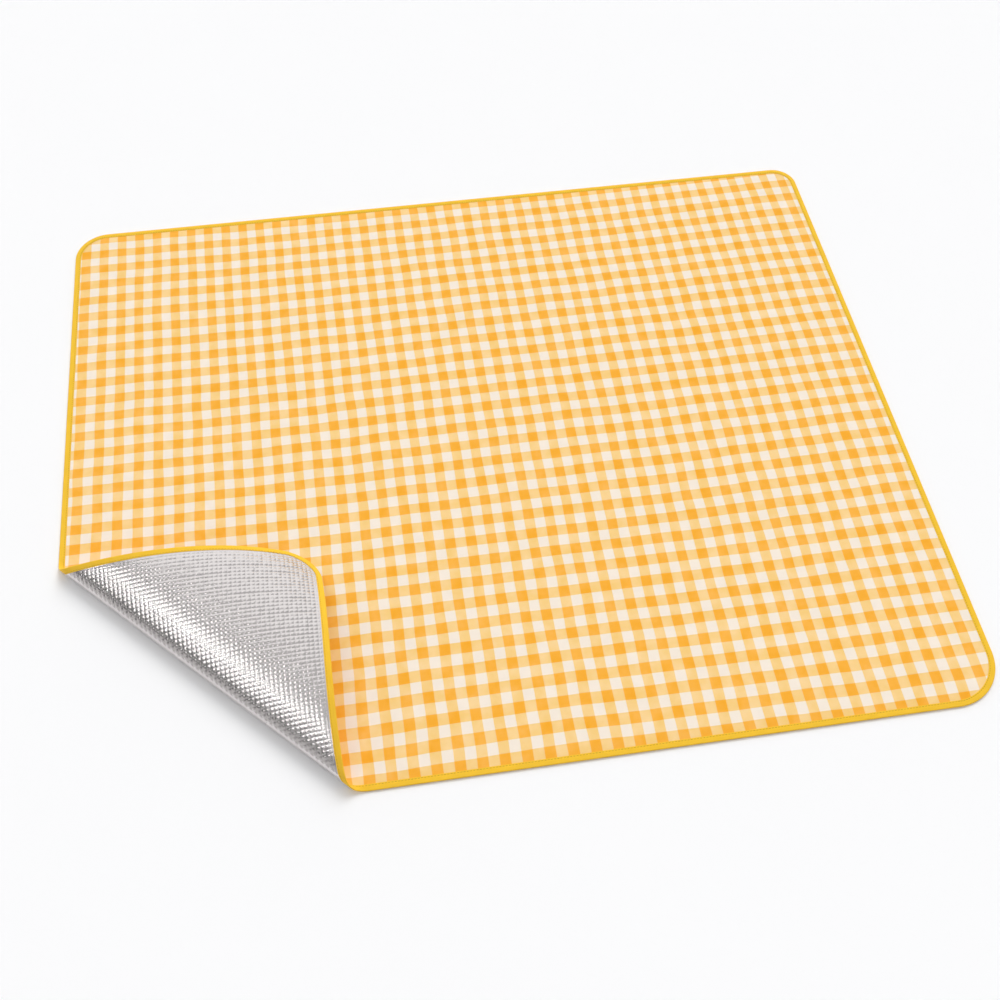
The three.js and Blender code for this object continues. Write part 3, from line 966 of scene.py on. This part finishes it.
class PICNICMAT_OT_stitches(bpy.types.Operator):
    """Makes the row of stitches along the binding, on both faces"""

    bl_idname = "picnicmat.stitches"
    bl_label = "Stitching"

    def execute(self, context):
        sizes, colours = choices(context.scene)
        tree, sockets = stitch_tree(spun_thread(colours))
        values = (sizes.stitch_length, sizes.thread_width, sizes.thread_width * THREAD_FLATNESS)
        flat, runs = stitch_places(sizes)
        for place, label in enumerate(LABELS):
            low, high = LIMITS[place : place + 2]
            here = (past_fold(flat) >= low) & (past_fold(flat) < high)
            marks = linked("marks", stitch_marks(flat[here], runs[here]))
            modifier = marks.modifiers.new("stitches", "NODES")
            modifier.node_group = tree
            for identifier, value in zip(sockets.values(), values):
                modifier[identifier] = value
            solid = bpy.data.meshes.new_from_object(marks.evaluated_get(context.evaluated_depsgraph_get()))
            bpy.data.objects.remove(marks)
            if not solid.polygons:
                raise RuntimeError(f"no stitch came out on {label}")
            solid.name = f"thread_{label}"
            attach(linked(solid.name, solid), place)
        return {"FINISHED"}


# ---- stage

CAMERA_PLACE = (-0.233235, -1.543290, 2.111209)
CAMERA_YAW, CAMERA_PITCH, CAMERA_ROLL = 0.1706237, 0.9834531, 0.0220146
CAMERA_LENS, CAMERA_SENSOR = 43.4356, 36
# The floor's half width, and its level: the mat never lies quite flat on it.
FLOOR_REACH, FLOOR_LEVEL = 7.0, -1.2 * MM
# The lamp, as heading from +X and height in degrees, the angle that it fills and its share of the light.
KEY_HEADING, KEY_HEIGHT, KEY_SPREAD, KEY_SHARE = 60.9, 42.0, 36.0, 0.318
# The parts of the studio that the foil mirrors: heading, height, where fading starts and stops, brightness.
BACK_WALL = (119, 5, 57.5, 65.5, 0.585)
DARK_SIDE = (174.3, 46.2, 19, 23, 0.03)
SOFTBOX = (177.5, 53.7, 4, 8, 5.8)
# Brightness of the rest, from the horizon at 0 to overhead at 1.
SKY = ((0.0, 0.48), (0.35, 0.585), (0.7, 0.49), (1.0, 0.60))
# Seen past the floor's edge the surroundings are as pale as the floor.
BACKDROP = 0.98


def towards(heading, height):
    """The direction at a heading and a height in degrees."""
    turn, rise = math.radians(heading), math.radians(height)
    return Vector((math.cos(rise) * math.cos(turn), math.cos(rise) * math.sin(turn), math.sin(rise)))


def studio_part(tree, ray, part):
    """How far each ray lies inside a round part of the studio: 1 inside, 0 beyond its fade."""
    heading, height, full, none, _ = part
    inputs = {0: ray, 1: towards(heading, height)}
    near = add(tree, "ShaderNodeVectorMath", inputs, "Value", operation="DOT_PRODUCT")
    outer, inner = (math.cos(math.radians(angle)) for angle in (none, full))
    inputs = {"Value": near, "From Min": outer, "From Max": inner}
    return add(tree, RANGE, inputs, interpolation_type="SMOOTHSTEP")


def studio_world():
    """The light from all round: a sky graded by height, with a back wall, a dark side and a softbox in it."""
    world = bpy.data.worlds.new("studio")
    world.use_nodes = True
    tree = world.node_tree
    tree.nodes.clear()
    ray = add(tree, "ShaderNodeTexCoord", output="Generated")
    ramp = add(tree, "ShaderNodeValToRGB", {0: add(tree, "ShaderNodeSeparateXYZ", {0: ray}, "Z")})
    stops = ramp.node.color_ramp.elements
    for at, _ in SKY[1:-1]:
        stops.new(at)
    for element, (_, value) in zip(stops, SKY):
        element.color = (value, value, value, 1)
    back, dark, box = (studio_part(tree, ray, part) for part in (BACK_WALL, DARK_SIDE, SOFTBOX))
    light = add(tree, MATH, {0: back, 1: BACK_WALL[4], 2: ramp}, operation="MULTIPLY_ADD")
    left = add(tree, RANGE, {"Value": dark, "To Min": 1.0, "To Max": DARK_SIDE[4]})
    light = add(tree, MATH, {0: light, 1: left}, operation="MULTIPLY")
    light = add(tree, MATH, {0: box, 1: SOFTBOX[4], 2: light}, operation="MULTIPLY_ADD")
    seen = add(tree, "ShaderNodeLightPath", output="Is Camera Ray")
    light = add(tree, MIX, {0: seen, 2: light, 3: BACKDROP})
    sky = add(tree, "ShaderNodeBackground", {"Color": (1, 1, 1, 1), "Strength": light})
    add(tree, "ShaderNodeOutputWorld", {"Surface": sky})
    return world


def studio_camera():
    """The camera, turned by its heading, its angle below level and its tilt."""
    camera = linked("camera", bpy.data.cameras.new("camera"))
    camera.data.lens, camera.data.sensor_width = CAMERA_LENS, CAMERA_SENSOR
    camera.data.clip_start, camera.data.clip_end = 0.05, 60
    turns = ((-CAMERA_YAW, "Z"), (math.pi / 2 - CAMERA_PITCH, "X"), (CAMERA_ROLL, "Z"))
    heading, drop, tilt = (Matrix.Rotation(angle, 4, axis) for angle, axis in turns)
    camera.matrix_world = Matrix.Translation(CAMERA_PLACE) @ heading @ drop @ tilt
    return camera


def studio_floor(colours):
    """The floor under the mat."""
    mesh = bpy.data.meshes.new("studio_floor")
    corners = [(x * FLOOR_REACH, y * FLOOR_REACH, FLOOR_LEVEL) for (x, y), _ in CORNERS]
    mesh.from_pydata(corners, [], [(0, 1, 2, 3)])
    mesh.materials.append(painted_board(colours))
    return linked("studio_floor", mesh)


def studio_lamp():
    """The broad soft lamp, which the foil doesn't mirror."""
    key = bpy.data.lights.new("key", "SUN")
    key.energy = KEY_SHARE * math.pi / math.sin(math.radians(KEY_HEIGHT))
    key.angle = math.radians(KEY_SPREAD)
    lamp = linked("key", key)
    lamp.matrix_world = towards(KEY_HEADING, KEY_HEIGHT).to_track_quat("Z", "Y").to_matrix().to_4x4()
    lamp.visible_glossy = False


class PICNICMAT_OT_stage(bpy.types.Operator):
    """Makes the camera, the floor, the lamp and the surrounding light"""

    bl_idname = "picnicmat.stage"
    bl_label = "Stage"

    def execute(self, context):
        scene = context.scene
        scene.camera = studio_camera()
        studio_floor(scene.picnicmat_colours)
        studio_lamp()
        scene.world = studio_world()
        scene.view_settings.view_transform = "Standard"
        return {"FINISHED"}


class PICNICMAT_PT_panel(bpy.types.Panel):
    """Lists the steps that build the mat"""

    bl_label = "Picnic mat"
    bl_idname = "PICNICMAT_PT_panel"
    bl_space_type = "VIEW_3D"
    bl_region_type = "UI"
    bl_category = "Picnic mat"

    def draw(self, context):
        for step in STEPS:
            self.layout.operator(step.bl_idname)
        for group in choices(context.scene):
            for prop in group.__annotations__:
                self.layout.prop(group, prop)


STEPS = (
    PICNICMAT_OT_cloth,
    PICNICMAT_OT_foam,
    PICNICMAT_OT_foil,
    PICNICMAT_OT_binding,
    PICNICMAT_OT_stitches,
    PICNICMAT_OT_stage,
)
CLASSES = (MatSizes, MatColours, *STEPS, PICNICMAT_PT_panel)


def register():
    for cls in CLASSES:
        bpy.utils.register_class(cls)
    bpy.types.Scene.picnicmat_sizes = PointerProperty(type=MatSizes)
    bpy.types.Scene.picnicmat_colours = PointerProperty(type=MatColours)


def unregister():
    del bpy.types.Scene.picnicmat_colours
    del bpy.types.Scene.picnicmat_sizes
    for cls in reversed(CLASSES):
        bpy.utils.unregister_class(cls)


def main():
    """Builds the mat around the frame."""
    register()
    bpy.ops.picnicmat.cloth()
    bpy.ops.picnicmat.foam()
    bpy.ops.picnicmat.foil()
    bpy.ops.picnicmat.binding()
    bpy.ops.picnicmat.stitches()
    bpy.ops.picnicmat.stage()


if __name__ == "__main__":
    main()
